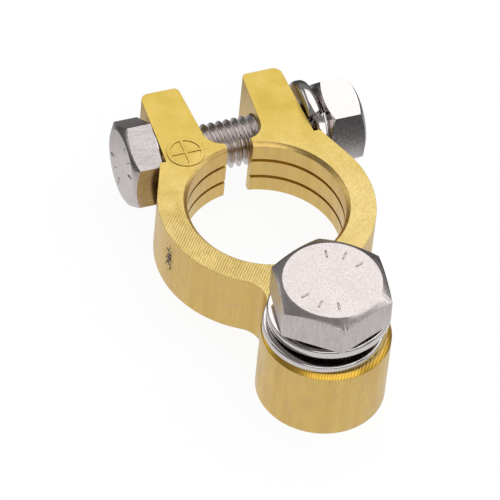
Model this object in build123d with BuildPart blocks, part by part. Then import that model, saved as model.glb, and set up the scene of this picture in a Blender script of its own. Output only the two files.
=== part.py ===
from build123d import *
import math
import os

os.makedirs("parts", exist_ok=True)

# Battery terminal clamp, millimetres.
# Z is the axis of the battery post, X the axis of the clamping bolt (head at -X, nut at +X).
# The ears point to +Y and the boss for the cable lug to -Y.
# The origin is on the post axis, halfway up the ring.

# Ring that grips the battery post
ring_diameter = 26.5
ring_height = 8.5
bore_diameter = 19.3
bore_chamfer = 0.45
land_count = 3
groove_width = 0.45
groove_depth = 0.4
slot_width = 3.3

# Ears that the clamping bolt draws together
clamp_axis_y = 14.2
ear_tip_y = 21.1
ear_blank_spread = 19.8    # across the ears before the seats are cut
shoulder_angle = 22.8      # degrees from +X, where the straight shoulder leaves the ring
seat_spread = 18.7         # across the seats, at the bolt axis
seat_draft = 2.2           # degrees, the seats lean in towards the tips
ear_gap = 7.2              # between the ears, at the floor of the gap
gap_floor_y = 10.6
gap_draft = 3.0            # degrees, the gap opens towards the tips
gap_corner_radius = 2.5
ear_outer_radius = 1.1
ear_inner_radius = 0.7

# Boss for the cable lug
boss_reach = 21.0          # post axis to boss axis
boss_diameter = 15.6
boss_height = 10.1         # it reaches below the ring
boss_chamfer = 0.55        # round its free rim
neck_radius = 3.0          # hollow corner between ring and boss

# Clamping bolt M6, with its nut and spring washer
clamp_thread_diameter = 6.0
clamp_bolt_length = 25.0
clamp_across_flats = 10.0
clamp_head_height = 4.0
clamp_nut_height = 5.0
clamp_head_turn = 83.0     # degrees from +Y to a corner of the head
clamp_nut_turn = 69.0
clamp_washer_diameter = 11.8
clamp_washer_thickness = 1.6
clamp_washer_rise = 0.6
clamp_washer_split = 118.0  # degrees from +Y

# Terminal bolt M8, with its two washers
terminal_thread_diameter = 8.0
terminal_bolt_length = 12.0
terminal_across_flats = 13.0
terminal_head_height = 5.0
terminal_head_turn = 22.0  # degrees from +X to a corner of the head
flat_washer_diameter = 14.6
flat_washer_thickness = 1.05
flat_washer_shift = (-0.4, 0.2)   # it lies off centre, as far as its bore allows
lug_washer_diameter = 14.8
lug_washer_thickness = 1.25
lug_washer_rise = 0.2
lug_washer_split = 95.0    # degrees from +X
lug_washer_shift = (0.35, 0.7)
lug_washer_tilt = 4.8      # degrees, it stands tilted until the bolt is tight
lug_washer_high_side = -40.0  # degrees from +X

# Forms that the fasteners share
head_chamfer_angle = 30.0  # degrees, turned on the corners of heads and nuts
turned_face = 0.91         # turned end face, as a share of the width across flats
bearing_face = 0.9         # washer face under a head, as a share of the width across flats
bearing_step = 0.3         # height of that washer face
thread_end_chamfer = 0.8
washer_edge = 0.15         # chamfer round the flat washer
split_gap = 0.6            # saw cut through a spring washer
split_lean = 25.0          # degrees, the cut leans off the washer's axis

# Clearances
seat_clearance = 0.3       # around head, washer and nut where they sit in the ears
ear_hole_clearance = 0.1   # around the clamping bolt, on the radius
thread_clearance = 0.05    # between a thread's crest and its nut or boss, on the radius
clamp_washer_clearance = 0.25   # around the clamping bolt, on the radius
flat_washer_clearance = 0.5     # around the terminal bolt, on the radius
lug_washer_clearance = 0.9
turning_clearance = 0.02   # between a spring washer and what turns on it

# Worked out from the sizes above
ring_radius = ring_diameter / 2
bore_radius = bore_diameter / 2
boss_radius = boss_diameter / 2
top_z = ring_height / 2
land_pitch = ring_height / land_count
seat_slope = math.tan(math.radians(seat_draft))
gap_slope = math.tan(math.radians(gap_draft))
seat_diameter = max(clamp_washer_diameter, clamp_across_flats / math.cos(math.pi / 6)) + 2 * seat_clearance
clamp_washer_bore = clamp_thread_diameter + 2 * clamp_washer_clearance
flat_washer_bore = terminal_thread_diameter + 2 * flat_washer_clearance
lug_washer_bore = terminal_thread_diameter + 2 * lug_washer_clearance


def seat_x(reach):
    # Highest point of a drafted seat under something that reaches this far from the bolt axis
    return seat_spread / 2 + reach * seat_slope


def facing_plane(plane):
    # Plane through the axis of a turned piece: its X is the radius and its Y the axis
    return Plane(origin=plane.origin, x_dir=plane.x_dir, z_dir=-plane.y_dir)


def turned(plane, angle):
    # The same plane, turned about its own normal
    x_dir = plane.x_dir.rotate(Axis((0, 0, 0), plane.z_dir), angle)
    return Plane(origin=plane.origin, x_dir=x_dir, z_dir=plane.z_dir)


def hexagon_blank(plane, across_flats, height, turn, low_step):
    # Hexagon with turned corners; low_step cuts a washer face, and without it both ends are turned
    corner_radius = across_flats / math.sqrt(3)
    end_radius = turned_face * across_flats / 2
    drop = (corner_radius - end_radius) * math.tan(math.radians(head_chamfer_angle))
    if low_step:
        step_radius = bearing_face * across_flats / 2
        low_end = [(step_radius, 0), (step_radius, low_step), (corner_radius, low_step)]
    else:
        low_end = [(end_radius, 0), (corner_radius, drop)]
    with BuildPart() as blank:
        with BuildSketch(plane):
            RegularPolygon(corner_radius, 6, rotation=turn)
        extrude(amount=height)
        with BuildSketch(facing_plane(plane)):
            with BuildLine():
                Polyline(
                    (0, 0),
                    *low_end,
                    (corner_radius, height - drop),
                    (end_radius, height),
                    (0, height),
                    close=True,
                )
            make_face()
        revolve(axis=Axis(plane.origin, plane.z_dir), mode=Mode.INTERSECT)
    return blank.part


def threaded_shank(plane, diameter, length):
    # Shank towards the plane's -Z, with the first thread chamfered
    with BuildPart() as shank:
        with BuildSketch(facing_plane(plane)):
            with BuildLine():
                Polyline(
                    (0, bearing_step),
                    (diameter / 2, bearing_step),
                    (diameter / 2, thread_end_chamfer - length),
                    (diameter / 2 - thread_end_chamfer, -length),
                    (0, -length),
                    close=True,
                )
            make_face()
        revolve(axis=Axis(plane.origin, plane.z_dir))
    return shank.part


def spring_washer(diameter, bore, thickness, rise):
    # One left-hand coil on the XY plane that climbs by the rise, parted at +X by a leaning cut
    mean_radius = (diameter + bore) / 4
    cut_height = 4 * (thickness + rise)
    lean = math.radians(split_lean)
    cut_plane = Plane(
        origin=(0, 0, (thickness + rise) / 2), x_dir=(1, 0, 0), z_dir=(0, -math.sin(lean), math.cos(lean))
    )
    with BuildPart() as washer:
        with BuildLine(Plane.XY.offset(thickness / 2)):
            coil = Helix(pitch=rise, height=rise, radius=mean_radius, lefthand=True)
        with BuildSketch(Plane(origin=coil @ 0, x_dir=(1, 0, 0), z_dir=coil % 0)):
            Rectangle((diameter - bore) / 2, thickness)
        sweep(path=coil, is_frenet=True)
        with BuildSketch(cut_plane.offset(-cut_height / 2)):
            with Locations((mean_radius, 0)):
                Rectangle(diameter - bore, split_gap)
        extrude(amount=cut_height, mode=Mode.SUBTRACT)
    return washer.part


# Clamp body: ring, ears, neck and boss in one casting
with BuildPart() as clamp_body:
    neck_reach = boss_radius + neck_radius
    ring_reach = ring_radius + neck_radius
    neck_y = -(ring_reach**2 - neck_reach**2 + boss_reach**2) / (2 * boss_reach)
    neck_x = math.sqrt(ring_reach**2 - neck_y**2)
    ring_end = Vector(neck_x, neck_y) * (ring_radius / ring_reach)
    boss_end = Vector(0, -boss_reach) + Vector(neck_x, neck_y + boss_reach) * (boss_radius / neck_reach)
    shoulder = math.radians(shoulder_angle)
    blank_x = ear_blank_spread / 2
    with BuildSketch(Plane.XY.offset(-top_z)):
        Circle(ring_radius)
        with Locations((0, -boss_reach)):
            Circle(boss_radius)
        with BuildLine():
            Line((0, 0), ring_end)
            ThreePointArc(ring_end, (neck_x - neck_radius, neck_y), boss_end)
            Line(boss_end, (0, -boss_reach))
            mirror(about=Plane.YZ)
        make_face()
        with BuildLine():
            Polyline(
                (0, 0),
                (ring_radius * math.cos(shoulder), ring_radius * math.sin(shoulder)),
                (blank_x, (ring_radius - blank_x * math.cos(shoulder)) / math.sin(shoulder)),
                (blank_x, ear_tip_y),
                (0, ear_tip_y),
            )
            mirror(about=Plane.YZ)
        make_face()
    extrude(amount=ring_height)

    # Seats of the bolt head and the nut: a drafted face, open towards the tip and round behind
    for side in (-1, 1):
        seat_plane = Plane(
            origin=(side * seat_spread / 2, clamp_axis_y, 0),
            x_dir=(-side * seat_slope, 1, 0),
            z_dir=(side, seat_slope, 0),
        )
        with BuildSketch(seat_plane):
            Circle(seat_diameter / 2)
            Rectangle(2 * ear_tip_y, 2 * seat_diameter, align=(Align.MIN, Align.CENTER))
        extrude(amount=ear_blank_spread, mode=Mode.SUBTRACT)

    # Gap between the ears, and the slot that opens the ring
    gap_tip_y = ear_tip_y + gap_corner_radius
    with BuildSketch(Plane.XY.offset(-top_z)):
        with BuildLine():
            Polyline(
                (0, gap_floor_y),
                (ear_gap / 2, gap_floor_y),
                (ear_gap / 2 + (gap_tip_y - gap_floor_y) * gap_slope, gap_tip_y),
                (0, gap_tip_y),
            )
            mirror(about=Plane.YZ)
        make_face()
        fillet(vertices().group_by(Axis.Y)[0].sort_by(Axis.X)[0], gap_corner_radius)
        fillet(vertices().group_by(Axis.Y)[0].sort_by(Axis.X)[-1], gap_corner_radius)
        Rectangle(slot_width, gap_floor_y + gap_corner_radius, align=(Align.CENTER, Align.MIN))
    extrude(amount=ring_height, mode=Mode.SUBTRACT)

    # Rounded tips of the ears
    tip_edges = edges().filter_by(Axis.Z).filter_by(lambda edge: edge.center().Y > ear_tip_y - 0.01)
    fillet(tip_edges.sort_by(lambda edge: abs(edge.center().X))[:2], ear_inner_radius)
    tip_edges = edges().filter_by(Axis.Z).filter_by(lambda edge: edge.center().Y > ear_tip_y - 0.01)
    fillet(tip_edges.sort_by(lambda edge: abs(edge.center().X))[-2:], ear_outer_radius)

    # Boss, level with the ring on top
    with BuildSketch(Plane.XY.offset(top_z - boss_height)):
        with Locations((0, -boss_reach)):
            Circle(boss_radius)
    extrude(amount=boss_height)

    # Chamfer round the boss, from one hollow corner to the other
    neck_angle = math.degrees(math.atan2(neck_y + boss_reach, neck_x))
    rim_arc = 180 + 2 * neck_angle
    boss_top = Plane(origin=(0, -boss_reach, top_z))
    with BuildSketch(facing_plane(turned(boss_top, 180 - neck_angle))):
        with BuildLine():
            Polyline(
                (boss_radius - boss_chamfer, 0),
                (boss_radius + boss_chamfer, 0),
                (boss_radius + boss_chamfer, -2 * boss_chamfer),
                close=True,
            )
        make_face()
    revolve(axis=Axis(boss_top.origin, boss_top.z_dir), revolution_arc=rim_arc, mode=Mode.SUBTRACT)

    # Post bore with its lands, grooves and chamfered mouths
    with BuildSketch(Plane.XZ):
        with BuildLine():
            Polyline(
                (0, -top_z),
                (bore_radius + bore_chamfer, -top_z),
                (bore_radius, bore_chamfer - top_z),
                (bore_radius, top_z - bore_chamfer),
                (bore_radius + bore_chamfer, top_z),
                (0, top_z),
                close=True,
            )
        make_face()
        with Locations([(bore_radius, k * land_pitch - top_z) for k in range(1, land_count)]):
            Rectangle(2 * groove_depth, groove_width)
    revolve(axis=Axis.Z, mode=Mode.SUBTRACT)

    # Bolt holes
    with BuildSketch(Plane.YZ.offset(-seat_spread)):
        with Locations((clamp_axis_y, 0)):
            Circle(clamp_thread_diameter / 2 + ear_hole_clearance)
    extrude(amount=2 * seat_spread, mode=Mode.SUBTRACT)
    with Locations((0, -boss_reach, top_z)):
        Hole(terminal_thread_diameter / 2 + thread_clearance)
clamp_body.part.label = "clamp_body"
export_step(clamp_body.part, "parts/clamp_body.step")

# Clamping bolt, its head on the -X ear
clamp_head_x = -seat_x(bearing_face * clamp_across_flats / 2)
clamp_head_plane = Plane(origin=(clamp_head_x, clamp_axis_y, 0), x_dir=(0, 1, 0), z_dir=(-1, 0, 0))
clamp_head = hexagon_blank(
    clamp_head_plane, clamp_across_flats, clamp_head_height, -clamp_head_turn, bearing_step
)
clamp_shank = threaded_shank(clamp_head_plane, clamp_thread_diameter, clamp_bolt_length)
with BuildPart() as clamp_bolt:
    add(clamp_head)
    add(clamp_shank)
clamp_bolt.part.label = "clamp_bolt"
export_step(clamp_bolt.part, "parts/clamp_bolt.step")

# Spring washer on the +X ear, clear of the leaning seat all the way round
clamp_washer_x = seat_x(clamp_washer_diameter / 2)
clamp_washer_plane = Plane(origin=(clamp_washer_x, clamp_axis_y, 0), x_dir=(0, 1, 0), z_dir=(1, 0, 0))
clamp_coil = spring_washer(
    clamp_washer_diameter, clamp_washer_bore, clamp_washer_thickness, clamp_washer_rise
)
with BuildPart() as clamp_spring_washer:
    with Locations(turned(clamp_washer_plane, clamp_washer_split)):
        add(clamp_coil)
clamp_spring_washer.part.label = "clamp_spring_washer"
export_step(clamp_spring_washer.part, "parts/clamp_spring_washer.step")

# Nut, turned on both ends
clamp_nut_plane = clamp_washer_plane.offset(clamp_washer_thickness + clamp_washer_rise + turning_clearance)
clamp_nut_blank = hexagon_blank(clamp_nut_plane, clamp_across_flats, clamp_nut_height, clamp_nut_turn, 0)
with BuildPart() as clamp_nut:
    add(clamp_nut_blank)
    with BuildSketch(clamp_nut_plane):
        Circle(clamp_thread_diameter / 2 + thread_clearance)
    extrude(amount=clamp_nut_height, mode=Mode.SUBTRACT)
clamp_nut.part.label = "clamp_nut"
export_step(clamp_nut.part, "parts/clamp_nut.step")

# Flat washer on the boss
flat_washer_plane = Plane(origin=(flat_washer_shift[0], flat_washer_shift[1] - boss_reach, top_z))
with BuildPart() as terminal_flat_washer:
    with BuildSketch(flat_washer_plane):
        Circle(flat_washer_diameter / 2)
        Circle(flat_washer_bore / 2, mode=Mode.SUBTRACT)
    extrude(amount=flat_washer_thickness)
    chamfer(edges().filter_by(GeomType.CIRCLE).sort_by(Edge.radius)[-2:], washer_edge)
terminal_flat_washer.part.label = "terminal_flat_washer"
export_step(terminal_flat_washer.part, "parts/terminal_flat_washer.step")

# Spring washer, tilted about its middle until it rests on the flat washer
lug_half_height = (lug_washer_thickness + lug_washer_rise) / 2
lug_slope = math.tan(math.radians(lug_washer_tilt))
lug_side = math.radians(lug_washer_high_side)
tilt_plane = Plane(
    origin=(0, 0, 0),
    x_dir=(math.cos(lug_side), math.sin(lug_side), lug_slope),
    z_dir=(-lug_slope * math.cos(lug_side), -lug_slope * math.sin(lug_side), 1),
)
lug_coil = spring_washer(lug_washer_diameter, lug_washer_bore, lug_washer_thickness, lug_washer_rise)
with BuildPart() as tilted_coil:
    with Locations(turned(tilt_plane, lug_washer_split - lug_washer_high_side).offset(-lug_half_height)):
        add(lug_coil)
lug_low_end = tilted_coil.part.bounding_box().min.Z
lug_middle_z = top_z + flat_washer_thickness + turning_clearance - lug_low_end
with BuildPart() as terminal_spring_washer:
    with Locations((lug_washer_shift[0], lug_washer_shift[1] - boss_reach, lug_middle_z)):
        add(tilted_coil.part)
terminal_spring_washer.part.label = "terminal_spring_washer"
export_step(terminal_spring_washer.part, "parts/terminal_spring_washer.step")

# Terminal bolt, its washer face on the high side of the spring washer
terminal_face_radius = bearing_face * terminal_across_flats / 2
terminal_head_z = lug_middle_z + lug_half_height + terminal_face_radius * lug_slope + turning_clearance
terminal_head_plane = Plane(origin=(0, -boss_reach, terminal_head_z))
terminal_head = hexagon_blank(
    terminal_head_plane, terminal_across_flats, terminal_head_height, terminal_head_turn, bearing_step
)
terminal_shank = threaded_shank(terminal_head_plane, terminal_thread_diameter, terminal_bolt_length)
with BuildPart() as terminal_bolt:
    add(terminal_head)
    add(terminal_shank)
terminal_bolt.part.label = "terminal_bolt"
export_step(terminal_bolt.part, "parts/terminal_bolt.step")
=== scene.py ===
import math

import bpy
from mathutils import Matrix, Vector


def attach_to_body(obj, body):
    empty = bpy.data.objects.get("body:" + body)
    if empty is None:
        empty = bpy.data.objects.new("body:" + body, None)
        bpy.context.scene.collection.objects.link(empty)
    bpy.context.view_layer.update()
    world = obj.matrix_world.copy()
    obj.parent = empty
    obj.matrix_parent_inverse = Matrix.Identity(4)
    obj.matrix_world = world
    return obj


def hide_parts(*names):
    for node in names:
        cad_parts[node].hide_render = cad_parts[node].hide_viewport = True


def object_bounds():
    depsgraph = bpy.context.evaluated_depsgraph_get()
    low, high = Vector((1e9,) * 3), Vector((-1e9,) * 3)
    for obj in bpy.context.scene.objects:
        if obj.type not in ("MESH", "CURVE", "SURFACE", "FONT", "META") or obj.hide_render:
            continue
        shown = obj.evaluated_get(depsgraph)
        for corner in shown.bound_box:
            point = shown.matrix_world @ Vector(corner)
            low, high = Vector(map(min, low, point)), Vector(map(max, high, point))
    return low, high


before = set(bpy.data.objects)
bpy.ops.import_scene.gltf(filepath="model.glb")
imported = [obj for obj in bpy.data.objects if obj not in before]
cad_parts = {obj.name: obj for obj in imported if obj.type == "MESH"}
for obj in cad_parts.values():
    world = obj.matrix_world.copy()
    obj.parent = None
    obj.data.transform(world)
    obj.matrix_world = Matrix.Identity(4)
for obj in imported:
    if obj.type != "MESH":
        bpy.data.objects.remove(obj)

mm = 0.001
ringTop = 4.25       # mm, the height of the ring's upper face above the origin
smoothAngle = 28     # degrees; faces that meet at more than this keep a sharp edge between them
cadBox = [list(corner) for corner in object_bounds()]
scene = bpy.context.scene
print("stage: frame loaded")


def deselectAll():
    bpy.ops.object.select_all(action="DESELECT")


def pick(piece):
    # selects one object only and makes it active
    deselectAll()
    piece.select_set(True)
    bpy.context.view_layer.objects.active = piece


def applyTransform():
    bpy.ops.object.transform_apply(location=True, rotation=True, scale=True)


def startEdit():
    bpy.ops.object.mode_set(mode="EDIT")
    bpy.ops.mesh.select_all(action="SELECT")


def endEdit():
    bpy.ops.object.mode_set(mode="OBJECT")


def shadeSmooth(angle=smoothAngle):
    bpy.ops.object.shade_smooth_by_angle(angle=math.radians(angle))


def applyModifiers(piece):
    pick(piece)
    for modifier in list(piece.modifiers):
        bpy.ops.object.modifier_apply(modifier=modifier.name)


def cut(piece, tool, operation="DIFFERENCE"):
    modifier = piece.modifiers.new("cut", "BOOLEAN")
    modifier.operation = operation
    modifier.solver = "EXACT"
    modifier.object = tool
    applyModifiers(piece)
    bpy.data.objects.remove(tool)


def attach(piece, extra):
    # joins a closed solid that is sunk a little into the piece's surface
    pick(extra)
    shadeSmooth()
    pick(piece)
    extra.select_set(True)
    bpy.ops.object.join()


def cleanCopy(nodeName, pieceName):
    # a copy of a frame node with its loose triangles merged and flat faces joined again
    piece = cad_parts[nodeName].copy()
    piece.data = piece.data.copy()
    piece.name = pieceName
    scene.collection.objects.link(piece)
    pick(piece)
    startEdit()
    bpy.ops.mesh.remove_doubles(threshold=0.0005 * mm)
    bpy.ops.mesh.dissolve_limited(angle_limit=math.radians(0.5))
    endEdit()
    return piece


def breakEdges(piece, width):
    # small rounded edges, so that the corners catch the light
    modifier = piece.modifiers.new("edges", "BEVEL")
    modifier.width = width * mm
    modifier.segments = 2
    modifier.limit_method = "ANGLE"
    modifier.angle_limit = math.radians(smoothAngle)
    modifier.harden_normals = False
    applyModifiers(piece)
    # smooth across small angles, with the big faces kept flat
    shadeSmooth()
    modifier = piece.modifiers.new("weights", "WEIGHTED_NORMAL")
    modifier.keep_sharp = True
    modifier.weight = 100      # the larger face decides a shared normal
    applyModifiers(piece)


def place(piece, matrix):
    # moves the mesh itself, so that the object stays at the origin
    pick(piece)
    piece.matrix_world = matrix @ piece.matrix_world
    applyTransform()


def finishPiece(piece, body, material, nodeName):
    piece.data.materials.clear()
    piece.data.materials.append(material)
    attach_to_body(piece, body)
    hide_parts(nodeName)


# Colours and shader nodes

def hexColour(text):
    # an sRGB hex value, made linear
    channels = [int(text[i:i + 2], 16) / 255 for i in (1, 3, 5)]
    return [c / 12.92 if c <= 0.04045 else ((c + 0.055) / 1.055) ** 2.4 for c in channels] + [1]


def addNode(tree, kind, inputs=None, output=0, **settings):
    # each input is a value, a hex colour or another node's output; gives back one output
    node = tree.nodes.new("ShaderNode" + kind)
    for name, value in settings.items():
        setattr(node, name, value)
    for socket, value in (inputs or {}).items():
        if isinstance(value, bpy.types.NodeSocket):
            tree.links.new(value, node.inputs[socket])
        else:
            value = hexColour(value) if isinstance(value, str) else value
            node.inputs[socket].default_value = value
    return node.outputs[output]


def newMaterial(name):
    material = bpy.data.materials.new(name)
    material.use_nodes = True
    return material, material.node_tree, material.node_tree.nodes["Principled BSDF"]


def placeInMm(tree):
    spot = addNode(tree, "TexCoord", output="Object")
    return addNode(tree, "VectorMath", {0: spot, 3: 1 / mm}, operation="SCALE")


def finishMetal(tree, shader, colour, rough, height, depth):
    bump = addNode(tree, "Bump", {"Height": height, "Distance": depth * mm, "Strength": 1.0})
    tree.links.new(bump, shader.inputs["Normal"])
    tree.links.new(colour, shader.inputs["Base Color"])
    tree.links.new(rough, shader.inputs["Roughness"])
    shader.inputs["Metallic"].default_value = 1.0


# Machined brass: a pale yellow satin metal. A face mill leaves fine lines on the top, and drawing
# leaves soft streaks down the walls. Fine grain keeps the light from lying flat on it.
# Noise scales are in features per millimetre. In a Map Range node, sockets 1 and 2 are the span
# that is read, and 3 and 4 what it becomes.
brassLook = {
    "topColour": "#D9C284",
    "topDark": "#C2A554",
    "earColour": "#C8AC4C",
    "lineColour": "#806224",
    "wallColour": "#E8C97E",
    "wallDark": "#D6B264",
    "tarnishColour": "#C9A78C",
    "chamferColour": "#F4C956",
    "chamferLine": "#C8993A",
    "edgeColour": "#7A5522",
    "pitColour": "#3A2012",
    "blotch": {"Scale": 0.25, "Detail": 3.0, "Roughness": 0.6},
    "grain": {"Scale": 3.0, "Detail": 4.0, "Roughness": 0.7},
    "streak": {"Scale": 1.1, "Detail": 3.0, "Roughness": 0.55},
    "tarnish": {"Scale": 0.6, "Detail": 4.0, "Roughness": 0.65},
    "pits": {"Scale": 2.3, "Detail": 3.0, "Roughness": 0.6},
    "blotchSpan": {1: 0.35, 2: 0.65},      # where most of the blotches' values lie
    "millPitch": 0.31,                     # mm; a real 0.2 mm is too fine to show
    "millTurn": 38.0,                      # degrees, the lines against X
    "millSide": (-0.55, -0.83, 0.0),       # they are plainest on this side of the ring
    "millFade": {1: 0.0, 2: 8.0},          # mm towards that side
    "lineShare": 0.6,
    "earFade": {1: -2.0, 2: 14.0},         # mm along Y, from the ring's yellow to the ears'
    "earShare": 0.8,
    "bossFade": {1: -12.0, 2: -14.0},      # mm along Y, where the boss's chamfer starts
    "streakStretch": (1.0, 1.0, 0.06),     # long in Z
    "tarnishShare": 0.25,
    "pitPlace": (-13.0, -2.3, 0.7),        # mm
    "pitStretch": (1.0, 1.0, 0.36),
    "pitReach": 1.5,                       # mm
    "edgeWidth": 0.10,                     # mm
    "edgeShare": 0.6,
    "depth": 0.012,                        # mm
    "roughness": {3: 0.28, 4: 0.38},
}


def millLines(tree, inMm):
    # at a scale of 1, Blender's wave repeats every pi / 10 of a unit
    scale = math.pi / (10 * brassLook["millPitch"])
    turn = math.radians(brassLook["millTurn"])
    turned = addNode(tree, "VectorRotate", {0: inMm, 3: turn}, rotation_type="Z_AXIS")
    return addNode(
        tree, "TexWave", {0: turned, 1: scale, 2: 0.5, 3: 2.0, 4: 2.0}, "Fac",
        wave_type="BANDS", bands_direction="X",
    )


def topBrass(tree, backward, grain, blotch, millShare):
    # grainy, with a deeper yellow towards the ears, and lines where the mill has been
    look = brassLook
    shade = addNode(tree, "MapRange", {0: grain, 1: 0.34, 2: 0.62, 3: 0.3, 4: 1.1})
    colour = addNode(
        tree, "Mix", {0: shade, 6: look["topDark"], 7: look["topColour"]}, 2, data_type="RGBA"
    )
    deep = addNode(tree, "MapRange", {0: backward, **look["earFade"], 4: look["earShare"]})
    uneven = addNode(tree, "MapRange", {0: blotch, **look["blotchSpan"], 3: -0.12, 4: 0.12})
    deep = addNode(tree, "Math", {0: deep, 1: uneven}, operation="ADD")
    colour = addNode(tree, "Mix", {0: deep, 6: colour, 7: look["earColour"]}, 2, data_type="RGBA")
    lines = addNode(tree, "MapRange", {0: millShare, 1: 0.25, 2: 1.0, 4: look["lineShare"]})
    return addNode(tree, "Mix", {0: lines, 6: colour, 7: look["lineColour"]}, 2, data_type="RGBA")


def wallBrass(tree, inMm, grain):
    # soft streaks along the height, about a millimetre wide, with faint pink tarnish in patches
    look = brassLook
    tall = addNode(tree, "VectorMath", {0: inMm, 1: look["streakStretch"]}, operation="MULTIPLY")
    streak = addNode(tree, "TexNoise", {"Vector": tall, **look["streak"]})
    streakShade = addNode(tree, "MapRange", {0: streak, 1: 0.3, 2: 0.7, 4: 0.55})
    grainShade = addNode(tree, "MapRange", {0: grain, 1: 0.3, 2: 0.7, 4: 0.45})
    shade = addNode(tree, "Math", {0: streakShade, 1: grainShade}, operation="ADD")
    colour = addNode(
        tree, "Mix", {0: shade, 6: look["wallDark"], 7: look["wallColour"]}, 2, data_type="RGBA"
    )
    patches = addNode(tree, "TexNoise", {"Vector": inMm, **look["tarnish"]})
    tarnish = addNode(tree, "MapRange", {0: patches, 1: 0.45, 2: 0.7, 4: look["tarnishShare"]})
    return addNode(
        tree, "Mix", {0: tarnish, 6: colour, 7: look["tarnishColour"]}, 2, data_type="RGBA"
    )


def castingPits(tree, inMm):
    # the pits' noise is lifted over the threshold near one place only
    look = brassLook
    offset = addNode(tree, "VectorMath", {0: inMm, 1: look["pitPlace"]}, operation="SUBTRACT")
    offset = addNode(tree, "VectorMath", {0: offset, 1: look["pitStretch"]}, operation="MULTIPLY")
    away = addNode(tree, "VectorMath", {0: offset}, "Value", operation="LENGTH")
    lift = addNode(
        tree, "MapRange", {0: away, 1: 0.3 * look["pitReach"], 2: look["pitReach"], 3: 0.41, 4: 0.0}
    )
    noise = addNode(tree, "TexNoise", {"Vector": inMm, **look["pits"]})
    lifted = addNode(tree, "Math", {0: noise, 1: lift}, operation="ADD")
    return addNode(tree, "MapRange", {0: lifted, 1: 0.84, 2: 0.89})


def chamferShare(tree, upward, backward):
    # the boss's chamfer only: faces that lean by about 45 degrees, at the boss
    look = brassLook
    leaning = addNode(tree, "MapRange", {0: upward, 1: 0.45, 2: 0.62})
    flat = addNode(tree, "MapRange", {0: upward, 1: 0.78, 2: 0.9})
    leaning = addNode(tree, "Math", {0: leaning, 1: flat}, operation="SUBTRACT")
    atBoss = addNode(tree, "MapRange", {0: backward, **look["bossFade"]})
    return addNode(tree, "Math", {0: leaning, 1: atBoss}, operation="MULTIPLY")


def machinedBrass():
    look = brassLook
    material, tree, shader = newMaterial("machinedBrass")
    inMm = placeInMm(tree)
    normal = addNode(tree, "NewGeometry", output="Normal")
    upward = addNode(tree, "SeparateXYZ", {0: normal}, "Z")
    backward = addNode(tree, "SeparateXYZ", {0: inMm}, "Y")
    blotch = addNode(tree, "TexNoise", {"Vector": inMm, **look["blotch"]})
    grain = addNode(tree, "TexNoise", {"Vector": inMm, **look["grain"]})
    # milled lines fade out across the ring, and the blotches break them up
    mill = millLines(tree, inMm)
    aside = addNode(
        tree, "VectorMath", {0: inMm, 1: look["millSide"]}, "Value", operation="DOT_PRODUCT"
    )
    reach = addNode(tree, "MapRange", {0: aside, **look["millFade"]})
    breaks = addNode(tree, "MapRange", {0: blotch, **look["blotchSpan"], 3: -0.25, 4: 0.25})
    reach = addNode(tree, "Math", {0: reach, 1: breaks}, operation="ADD")
    millShare = addNode(tree, "Math", {0: mill, 1: reach}, operation="MULTIPLY")
    top = addNode(tree, "MapRange", {0: upward, 1: 0.8, 2: 0.97})
    topColour = topBrass(tree, backward, grain, blotch, millShare)
    wallColour = wallBrass(tree, inMm, grain)
    colour = addNode(tree, "Mix", {0: top, 6: wallColour, 7: topColour}, 2, data_type="RGBA")
    # the boss's chamfer is cleaner and yellower, with the cutter's marks across it
    chamfer = addNode(
        tree, "Mix", {0: mill, 6: look["chamferColour"], 7: look["chamferLine"]}, 2,
        data_type="RGBA",
    )
    slant = chamferShare(tree, upward, backward)
    colour = addNode(tree, "Mix", {0: slant, 6: colour, 7: chamfer}, 2, data_type="RGBA")
    pit = castingPits(tree, inMm)
    colour = addNode(tree, "Mix", {0: pit, 6: colour, 7: look["pitColour"]}, 2, data_type="RGBA")
    # the rounded edges are coloured darker and browner
    rounded = addNode(tree, "Bevel", {0: look["edgeWidth"] * mm}, samples=6)
    agree = addNode(tree, "VectorMath", {0: rounded, 1: normal}, "Value", operation="DOT_PRODUCT")
    edge = addNode(tree, "MapRange", {0: agree, 1: 0.99, 2: 0.9, 4: look["edgeShare"]})
    colour = addNode(tree, "Mix", {0: edge, 6: colour, 7: look["edgeColour"]}, 2, data_type="RGBA")
    # grain and lines stand out, and pits sink by twice as much
    lines = addNode(tree, "Math", {0: millShare, 1: top}, operation="MULTIPLY")
    relief = addNode(tree, "Math", {0: grain, 1: lines}, operation="ADD")
    pitDepth = addNode(tree, "Math", {0: pit, 1: pit}, operation="ADD")
    relief = addNode(tree, "Math", {0: relief, 1: pitDepth}, operation="SUBTRACT")
    rough = addNode(tree, "MapRange", {0: blotch, **look["blotchSpan"], **look["roughness"]})
    finishMetal(tree, shader, colour, rough, relief, look["depth"])
    return material


# Cold-formed stainless steel: a light satin grey with fine speckle and shallow draw lines along the
# flats. It is soft enough to spread a light over a whole face, yet its edges stay crisp.
stainlessLook = {
    "faceColour": "#D6CECC",
    "darkColour": "#B5ADAB",
    "lines": {"Scale": 4.0, "Detail": 3.0, "Roughness": 0.6},
    "speckle": {"Scale": 3.2, "Detail": 4.0, "Roughness": 0.75},
    "cloud": {"Scale": 0.5, "Detail": 2.0, "Roughness": 0.5},
    "stretch": 0.12,                       # the lines' scale along the bolt, against across it
    "roughness": {3: 0.23, 4: 0.32},
    "depth": 0.005,                        # mm
}


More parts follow.
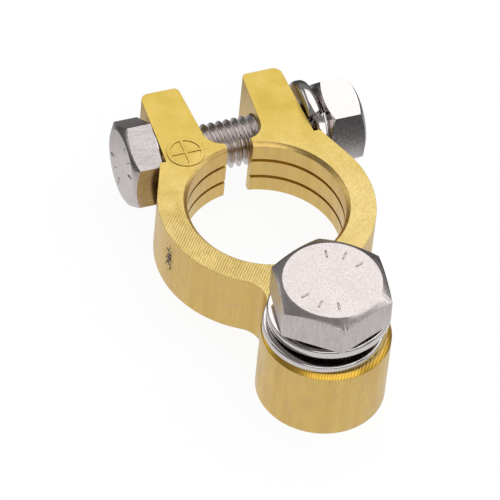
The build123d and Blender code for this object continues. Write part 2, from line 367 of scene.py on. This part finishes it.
def formedStainless(name, axis):
    look = stainlessLook
    material, tree, shader = newMaterial(name)
    inMm = placeInMm(tree)
    stretch = tuple(look["stretch"] if i == axis else 1.0 for i in range(3))
    along = addNode(tree, "VectorMath", {0: inMm, 1: stretch}, operation="MULTIPLY")
    lines = addNode(tree, "TexNoise", {"Vector": along, **look["lines"]})
    speckle = addNode(tree, "TexNoise", {"Vector": inMm, **look["speckle"]})
    cloud = addNode(tree, "TexNoise", {"Vector": inMm, **look["cloud"]})
    speckleShade = addNode(tree, "MapRange", {0: speckle, 1: 0.3, 2: 0.6, 4: 0.5})
    lineShade = addNode(tree, "MapRange", {0: lines, 1: 0.3, 2: 0.6, 4: 0.5})
    shade = addNode(tree, "Math", {0: speckleShade, 1: lineShade}, operation="ADD")
    colour = addNode(
        tree, "Mix", {0: shade, 6: look["darkColour"], 7: look["faceColour"]}, 2, data_type="RGBA"
    )
    rough = addNode(tree, "MapRange", {0: cloud, 1: 0.3, 2: 0.7, **look["roughness"]})
    relief = addNode(tree, "Math", {0: speckle, 1: lines}, operation="ADD")
    finishMetal(tree, shader, colour, rough, relief, look["depth"])
    return material


# Tumbled and polished stainless steel: washers and nut, bright as a mirror with faint soft dents,
# so each face is either white or dark, as its surroundings are.
polishedLook = {
    "colour": "#DCD7D5",
    "scratchColour": "#CDC7C5",
    "dents": {"Scale": 1.0, "Detail": 2.0, "Roughness": 0.5},
    "scratches": {"Scale": 6.0, "Detail": 2.0, "Roughness": 0.6},
    "roughness": {3: 0.08, 4: 0.16},
    "depth": 0.003,                        # mm
}


def polishedStainless():
    look = polishedLook
    material, tree, shader = newMaterial("polishedStainless")
    inMm = placeInMm(tree)
    dents = addNode(tree, "TexNoise", {"Vector": inMm, **look["dents"]})
    scratches = addNode(tree, "TexNoise", {"Vector": inMm, **look["scratches"]})
    shade = addNode(tree, "MapRange", {0: scratches, 1: 0.3, 2: 0.5})
    colour = addNode(
        tree, "Mix", {0: shade, 6: look["scratchColour"], 7: look["colour"]}, 2, data_type="RGBA"
    )
    rough = addNode(tree, "MapRange", {0: scratches, 1: 0.3, 2: 0.7, **look["roughness"]})
    finishMetal(tree, shader, colour, rough, dents, look["depth"])
    return material


brass = machinedBrass()
clampSteel = formedStainless("formedStainlessClamp", 0)
terminalSteel = formedStainless("formedStainlessTerminal", 2)
polished = polishedStainless()
print("stage: materials made")

# Clamp body, with the polarity sign standing just proud of its top beside the -X ear
bodyLook = {
    "edge": 0.12,                          # all in mm
    "signCentre": (-6.74, 10.53), "signRadius": 2.34, "signHeight": 0.10,
    "band": 0.45, "bar": 0.34,             # the widths of the sign's ring and cross
}


def polaritySign(topZ):
    # a ring and a cross, as one solid that is sunk into the top by its own height
    look = bodyLook
    radius, thick = look["signRadius"], 2 * look["signHeight"]
    deselectAll()
    bpy.ops.mesh.primitive_cylinder_add(vertices=96, radius=radius * mm, depth=thick * mm)
    tool = bpy.context.active_object
    bpy.ops.mesh.primitive_cylinder_add(
        vertices=96, radius=(radius - look["band"]) * mm, depth=2 * thick * mm
    )
    cut(tool, bpy.context.active_object)
    for turn in (0, 90):
        bpy.ops.mesh.primitive_cube_add(size=1)
        bar = bpy.context.active_object
        bar.scale = ((2 * radius - look["band"]) * mm, look["bar"] * mm, thick * mm)
        bar.rotation_euler.z = math.radians(turn)
        pick(bar)
        applyTransform()
        cut(tool, bar, "UNION")
    place(tool, Matrix.Translation(Vector((*look["signCentre"], topZ)) * mm))
    return tool


body = cleanCopy("clamp_body", "castClampBody")
breakEdges(body, bodyLook["edge"])
attach(body, polaritySign(ringTop))
finishPiece(body, "clamp_body", brass, "clamp_body")
print("stage: clamp body", len(body.data.polygons))


# Fasteners: each is made about its own axis, then laid on its seat

def seat(origin, xDir, zDir):
    # the place of a fastener: its own X and Z directions at an origin in millimetres
    xDir, zDir = Vector(xDir).normalized(), Vector(zDir).normalized()
    yDir = zDir.cross(xDir)
    return Matrix((
        (xDir.x, yDir.x, zDir.x, origin[0] * mm),
        (xDir.y, yDir.y, zDir.y, origin[1] * mm),
        (xDir.z, yDir.z, zDir.z, origin[2] * mm),
        (0, 0, 0, 1),
    ))


def addCylinder(radius, low, high, sides=128, turn=0.0, topRadius=None):
    # a cone where the top's radius is given
    deselectAll()
    shared = {
        "vertices": sides, "depth": (high - low) * mm, "location": (0, 0, (low + high) / 2 * mm),
        "rotation": (0, 0, math.radians(turn)),
    }
    if topRadius is None:
        bpy.ops.mesh.primitive_cylinder_add(radius=radius * mm, **shared)
    else:
        bpy.ops.mesh.primitive_cone_add(radius1=radius * mm, radius2=topRadius * mm, **shared)
    piece = bpy.context.active_object
    applyTransform()
    return piece


def hexPrism(acrossFlats, low, high, turn):
    # Blender's six-sided cylinder has a corner on +Y
    return addCylinder(acrossFlats / math.sqrt(3), low, high, sides=6, turn=turn - 90)


def turnCorners(piece, acrossFlats, height, share=0.91, angle=30):
    # the lathe's cone that takes the corners off the end at this height
    endRadius = share * acrossFlats / 2
    widening = height / math.tan(math.radians(angle))
    cone = addCylinder(endRadius + widening, 0, height, topRadius=endRadius)
    cut(piece, cone, "INTERSECT")


# one tooth of a thread: (along, out), in pitches and depths, with a rounded crest
toothOutline = [
    (0.0, 0.0), (0.06, 0.0), (0.14, 0.10), (0.40, 0.82), (0.45, 0.97), (0.50, 1.0),
    (0.55, 0.97), (0.60, 0.82), (0.86, 0.10), (0.94, 0.0), (1.0, 0.0),
]
threadSteps = 72             # a turn
threadDepth = 0.6134         # of the pitch


def threadSurface(radius, pitch, low, high):
    # the tooth's outline, swept along the helix, then cut flat at both ends
    deselectAll()
    depth = threadDepth * pitch
    bpy.ops.mesh.primitive_grid_add(
        x_subdivisions=len(toothOutline) - 1, y_subdivisions=1, size=pitch * mm
    )
    piece = bpy.context.active_object
    bpy.ops.object.mode_set(mode="EDIT")
    bpy.ops.mesh.select_all(action="DESELECT")
    endEdit()
    for vertex in piece.data.vertices:
        vertex.select = vertex.co.y > 0
    bpy.ops.object.mode_set(mode="EDIT")
    bpy.ops.mesh.delete(type="VERT")
    endEdit()
    row = sorted(piece.data.vertices, key=lambda vertex: vertex.co.x)
    for vertex, (along, out) in zip(row, toothOutline):
        reach, height = radius - depth + out * depth, low - 2 * pitch + along * pitch
        vertex.co = (reach * mm, 0, height * mm)
    screw = piece.modifiers.new("helix", "SCREW")
    screw.steps = screw.render_steps = threadSteps
    screw.screw_offset = pitch * mm
    screw.iterations = math.ceil((high - low) / pitch) + 4
    screw.use_merge_vertices = True
    screw.merge_threshold = 0.001 * mm
    applyModifiers(piece)
    startEdit()
    bpy.ops.mesh.remove_doubles(threshold=0.002 * mm)
    for height, side in ((low, -1), (high, 1)):
        bpy.ops.mesh.select_all(action="SELECT")
        bpy.ops.mesh.bisect(
            plane_co=(0, 0, height * mm), plane_no=(0, 0, side), use_fill=True, clear_outer=True,
            threshold=0.0001 * mm,
        )
    bpy.ops.mesh.select_all(action="SELECT")
    bpy.ops.mesh.normals_make_consistent(inside=False)
    endEdit()
    return piece


# what both bolts share, in mm
boltLook = {
    "step": 0.3, "stepRadius": 0.45,       # the washer face, its radius as a share of the width
    "edge": 0.10,
    "point": 0.8,                          # the thread's chamfered end
    "markAngles": (20, 50, 80, 200, 230, 260),
    "markRing": 0.64,                      # as a share of half the width
    "markRadius": 0.13, "markHalfLength": 0.55, "markEdge": 0.08,
}


def markHead(head, halfWidth, height):
    # plain strokes, half sunk into the end of the head
    look = boltLook
    halfLength = look["markHalfLength"]
    stroke = addCylinder(look["markRadius"], -halfLength, halfLength, sides=24)
    breakEdges(stroke, look["markEdge"])
    outward = Matrix.Translation((look["markRing"] * halfWidth * mm, 0, height * mm))
    for angle in look["markAngles"]:
        mark = stroke.copy()
        mark.data = stroke.data.copy()
        scene.collection.objects.link(mark)
        lay = Matrix.Rotation(math.radians(angle), 4, "Z") @ outward
        place(mark, lay @ Matrix.Rotation(math.radians(90), 4, "Y"))
        attach(head, mark)
    bpy.data.objects.remove(stroke)


def threadedShank(radius, length, pitch):
    # the thread starts 0.15 mm inside the head and ends in a cone; the solids that cut it reach
    # past its surface
    point, wide = boltLook["point"], radius + 0.2
    shank = threadSurface(radius, pitch, -length - 0.5, 0.2)
    blank = addCylinder(wide, point - length, 0.15, topRadius=wide)
    cone = addCylinder(radius - point, -length, point - length + 0.2, topRadius=wide)
    cut(blank, cone, "UNION")
    cut(shank, blank, "INTERSECT")
    cut(shank, addCylinder(radius - 0.001, -length - 1, 1), "INTERSECT")
    pick(shank)
    shadeSmooth(50)
    return shank


def hexBolt(look, material, nodeName, pieceName, bodyName):
    across, height, step = look["acrossFlats"], look["headHeight"], boltLook["step"]
    head = hexPrism(across, step, height, look["turn"])
    turnCorners(head, across, height)
    cut(head, addCylinder(boltLook["stepRadius"] * across, 0, step + 0.3), "UNION")
    breakEdges(head, boltLook["edge"])
    markHead(head, across / 2, height)
    shank = threadedShank(look["thread"] / 2, look["length"], look["pitch"])
    pick(head)
    shank.select_set(True)
    bpy.ops.object.join()
    head.name = pieceName
    place(head, look["seat"])
    finishPiece(head, bodyName, material, nodeName)
    print("stage:", pieceName, len(head.data.polygons))


clampBoltLook = {
    "acrossFlats": 10.0, "headHeight": 4.0, "turn": -83.0,
    "thread": 6.0, "pitch": 1.0, "length": 25.0,
    "seat": seat((-9.523, 14.2, 0), (0, 1, 0), (-1, 0, 0)),
}
terminalBoltLook = {
    "acrossFlats": 13.0, "headHeight": 5.0, "turn": 22.0,
    "thread": 8.0, "pitch": 1.25, "length": 12.0,
    "seat": seat((0, -21.0, 7.724), (1, 0, 0), (0, 0, 1)),
}
hexBolt(clampBoltLook, clampSteel, "clamp_bolt", "threadedClampBolt", "clamp_bolt")
hexBolt(terminalBoltLook, terminalSteel, "terminal_bolt", "threadedTerminalBolt", "terminal_bolt")


# what both spring washers share
coilLook = {
    "gap": 0.6, "lean": 25.0,        # the saw cut's width in mm and its slant in degrees
    "steps": 160,
    "open": 0.004,                   # radians by which the coil stops short of a whole turn
    "sawHeight": 6.0,                # mm, more than any washer's
}


def springWasher(look, nodeName, pieceName, bodyName):
    # a rounded bar, swept along one left-hand turn and parted by a leaning saw cut
    width, thickness = (look["outer"] - look["inner"]) / 2, look["thickness"]
    middle = (look["outer"] + look["inner"]) / 4
    deselectAll()
    bpy.ops.mesh.primitive_plane_add(size=1)
    piece = bpy.context.active_object
    piece.scale = (width * mm, thickness * mm, 1)
    piece.rotation_euler.x = math.radians(90)
    piece.location = (middle * mm, 0, thickness / 2 * mm)
    applyTransform()
    startEdit()
    bpy.ops.mesh.bevel(offset=look["round"] * mm, segments=4, affect="VERTICES")
    bpy.ops.mesh.select_all(action="SELECT")
    bpy.ops.mesh.delete(type="ONLY_FACE")
    endEdit()
    screw = piece.modifiers.new("coil", "SCREW")
    screw.angle = coilLook["open"] - 2 * math.pi
    screw.steps = screw.render_steps = coilLook["steps"]
    screw.screw_offset = look["rise"] * mm
    applyModifiers(piece)
    startEdit()
    bpy.ops.mesh.fill_holes(sides=0)
    bpy.ops.mesh.select_all(action="SELECT")
    bpy.ops.mesh.normals_make_consistent(inside=False)
    endEdit()
    deselectAll()
    bpy.ops.mesh.primitive_cube_add(size=1)
    saw = bpy.context.active_object
    saw.scale = (2 * width * mm, coilLook["gap"] * mm, coilLook["sawHeight"] * mm)
    saw.rotation_euler.x = math.radians(coilLook["lean"])
    saw.location = (middle * mm, 0, (thickness + look["rise"]) / 2 * mm)
    applyTransform()
    cut(piece, saw)
    pick(piece)
    shadeSmooth(30)
    piece.name = pieceName
    lowered = Matrix.Translation((0, 0, -look["sink"] * mm))
    place(piece, look["seat"] @ Matrix.Rotation(math.radians(look["split"]), 4, "Z") @ lowered)
    finishPiece(piece, bodyName, polished, nodeName)
    print("stage:", pieceName, len(piece.data.polygons))


clampWasherLook = {
    "outer": 11.8, "inner": 6.5, "thickness": 1.6, "rise": 0.6, "round": 0.6,
    "split": 118.0, "sink": 0, "seat": seat((9.577, 14.2, 0), (0, 1, 0), (1, 0, 0)),
}
# loose under its bolt head, it stands tilted, with its high side 40 degrees to the front of +X
highSide, tiltSlope = math.radians(-40), math.tan(math.radians(4.8))
upSlope = (math.cos(highSide), math.sin(highSide), tiltSlope)
tiltAxis = (-tiltSlope * math.cos(highSide), -tiltSlope * math.sin(highSide), 1)
terminalWasherLook = {
    "outer": 14.8, "inner": 9.8, "thickness": 1.25, "rise": 0.2, "round": 0.25,
    "split": 135.0, "sink": 0.725, "seat": seat((0.35, -20.3, 6.488), upSlope, tiltAxis),
}
springWasher(
    clampWasherLook, "clamp_spring_washer", "clampSpringWasher", "clamp_washer"
)
springWasher(
    terminalWasherLook, "terminal_spring_washer", "terminalSpringWasher", "terminal_washers",
)

# Nut, its corners turned at both ends
nutLook = {
    "acrossFlats": 10.0, "height": 5.0, "turn": 69.0, "endShare": 0.86, "edge": 0.10,
    "hole": 3.05, "mouthDepth": 0.4, "mouthWidth": 0.5,
    "seat": seat((11.797, 14.2, 0), (0, 1, 0), (1, 0, 0)),
}
flatWasherLook = {"edge": 0.08}        # mm


def hexNut(look):
    across, height, hole = look["acrossFlats"], look["height"], look["hole"]
    depth, width = look["mouthDepth"], look["mouthWidth"]
    nut = hexPrism(across, 0, height, look["turn"])
    turnCorners(nut, across, height, look["endShare"])
    flip = Matrix.Translation((0, 0, height * mm)) @ Matrix.Rotation(math.pi, 4, "X")
    place(nut, flip)
    turnCorners(nut, across, height, look["endShare"])
    place(nut, flip.inverted())
    cut(nut, addCylinder(hole, -1, height + 1))
    # a cone opens each mouth, and runs 0.1 mm past the face
    cut(nut, addCylinder(hole + width, -0.1, depth, topRadius=hole))
    cut(nut, addCylinder(hole, height - depth, height + 0.1, topRadius=hole + width))
    breakEdges(nut, look["edge"])
    nut.name = "hexNut"
    place(nut, look["seat"])
    finishPiece(nut, "clamp_nut", polished, "clamp_nut")


hexNut(nutLook)
washer = cleanCopy("terminal_flat_washer", "flatWasher")
breakEdges(washer, flatWasherLook["edge"])
finishPiece(washer, "terminal_washers", polished, "terminal_flat_washer")
print("stage: fasteners")

# Floor: pale paper, white to the camera with the soft shadow kept. The metal mirrors a painted pool
# of light on it: a glow, bright beside the object and fading outwards, as a lamp-lit table's would.
floorLook = {
    "colour": "#F4F4F4", "roughness": 0.9,
    "ownShare": 0.88, "glow": 1.05,        # the glow's share of what the camera sees, and its level
    # the painted pool of light: the glow that the metal mirrors, near and far
    "paintedPool": {3: 0.82, 4: 0.08},        # the mirrored glow, near and far
    "reach": {1: 0.034, 2: 0.052},         # m, where it starts and ends its fade
    "middle": (-0.005, -0.012, 0.0),       # m
    "size": 4.0,                           # m
    "drop": 0.05,                          # mm under the object
}


def paperFloor(lowZ):
    look, white = floorLook, (1, 1, 1, 1)
    deselectAll()
    bpy.ops.mesh.primitive_plane_add(size=look["size"], location=(0, 0, lowZ - look["drop"] * mm))
    floor = bpy.context.active_object
    floor.name = "paperFloor"
    material, tree, shader = newMaterial("palePaper")
    shader.inputs["Base Color"].default_value = hexColour(look["colour"])
    shader.inputs["Roughness"].default_value = look["roughness"]
    shader.inputs["Specular IOR Level"].default_value = 0.0
    seen = addNode(tree, "LightPath", output="Is Camera Ray")
    glossy = addNode(tree, "LightPath", output="Is Glossy Ray")
    spot = addNode(tree, "TexCoord", output="Object")
    away = addNode(tree, "VectorMath", {0: spot, 1: look["middle"]}, "Value", operation="DISTANCE")
    # painted pool of light: a glow that only mirrored rays see, bright near the middle and fading
    # outwards
    level = addNode(tree, "MapRange", {0: away, **look["reach"], **look["paintedPool"]})
    seenGlow = addNode(tree, "Emission", {0: white, 1: look["glow"]})
    paintedPoolGlow = addNode(tree, "Emission", {0: white, 1: level})
    seenShare = addNode(tree, "Math", {0: seen, 1: look["ownShare"]}, operation="MULTIPLY")
    paper = addNode(tree, "MixShader", {0: seenShare, 1: shader.outputs[0], 2: seenGlow})
    paper = addNode(tree, "MixShader", {0: glossy, 1: paper, 2: paintedPoolGlow})
    tree.links.new(paper, tree.nodes["Material Output"].inputs["Surface"])
    floor.data.materials.append(material)


paperFloor(cadBox[0][2])

# Studio: a dark room with one large soft box above and behind the object at its right, and weaker
# ones in front, at the right and low behind at the left
studioLook = {
    "room": 0.23,
    "distance": 0.9,                     # m
    # each box: its direction, its two sizes in m, its radiance
    "keyBox": ((0.36, 0.36, 0.86), (1.26, 0.90), 1.26),
    "frontBox": ((-0.06, -0.78, 0.61), (1.35, 0.5), 1.3),
    "rightBox": ((0.90, -0.18, 0.38), (0.7, 0.5), 0.9),
    "leftBox": ((-0.72, 0.62, 0.27), (0.6, 0.35), 0.8),
}


def studioWorld():
    # the camera sees white, and the object sees a dim room
    world = bpy.data.worlds.new("studioRoom")
    scene.world = world
    world.use_nodes = True
    tree = world.node_tree
    background = tree.nodes["Background"]
    background.inputs[0].default_value = (1, 1, 1, 1)
    seen = addNode(tree, "LightPath", output="Is Camera Ray")
    level = addNode(tree, "MapRange", {0: seen, 3: studioLook["room"], 4: 1.0})
    tree.links.new(level, background.inputs[1])


def softBox(name):
    direction, size, radiance = studioLook[name]
    lamp = bpy.data.lights.new(name, "AREA")
    lamp.shape = "RECTANGLE"
    lamp.size, lamp.size_y = size
    lamp.energy = radiance * math.pi * size[0] * size[1]
    holder = bpy.data.objects.new(name, lamp)
    scene.collection.objects.link(holder)
    direction = Vector(direction).normalized()
    holder.location = direction * studioLook["distance"]
    holder.rotation_euler = direction.to_track_quat("Z", "Y").to_euler()


studioWorld()
for boxName in ("keyBox", "frontBox", "rightBox", "leftBox"):
    softBox(boxName)
print("stage: studio")

# Camera: a long lens from above the boss, slightly rolled
cameraLook = {
    "azimuth": -23.96, "elevation": 47.36, "roll": 5.99,     # degrees
    "distance": 700.0, "side": 2.06, "rise": 5.72,           # mm from the ring's upper face
    "lens": 418.71, "sensor": 36.0,                          # mm
    "clip": (0.01, 20.0),                                    # m
}


def longLensCamera():
    look = cameraLook
    azimuth, elevation = math.radians(look["azimuth"]), math.radians(look["elevation"])
    roll = math.radians(look["roll"])
    outward = math.cos(elevation)
    back = Vector((math.sin(azimuth) * outward, -math.cos(azimuth) * outward, math.sin(elevation)))
    right = Vector((math.cos(azimuth), math.sin(azimuth), 0))
    up = back.cross(right)
    side = math.cos(roll) * right + math.sin(roll) * up
    rise = -math.sin(roll) * right + math.cos(roll) * up
    stand = (-look["side"] * side - look["rise"] * rise + look["distance"] * back) * mm
    stand.z += ringTop * mm
    camera = bpy.data.objects.new("camera", bpy.data.cameras.new("camera"))
    scene.collection.objects.link(camera)
    camera.data.lens = look["lens"]
    camera.data.sensor_width = look["sensor"]
    camera.data.clip_start, camera.data.clip_end = look["clip"]
    camera.matrix_world = Matrix((
        (side.x, rise.x, back.x, stand.x),
        (side.y, rise.y, back.y, stand.y),
        (side.z, rise.z, back.z, stand.z),
        (0, 0, 0, 1),
    ))
    scene.camera = camera


longLensCamera()
scene.view_settings.view_transform = "Standard"
print("stage: camera")
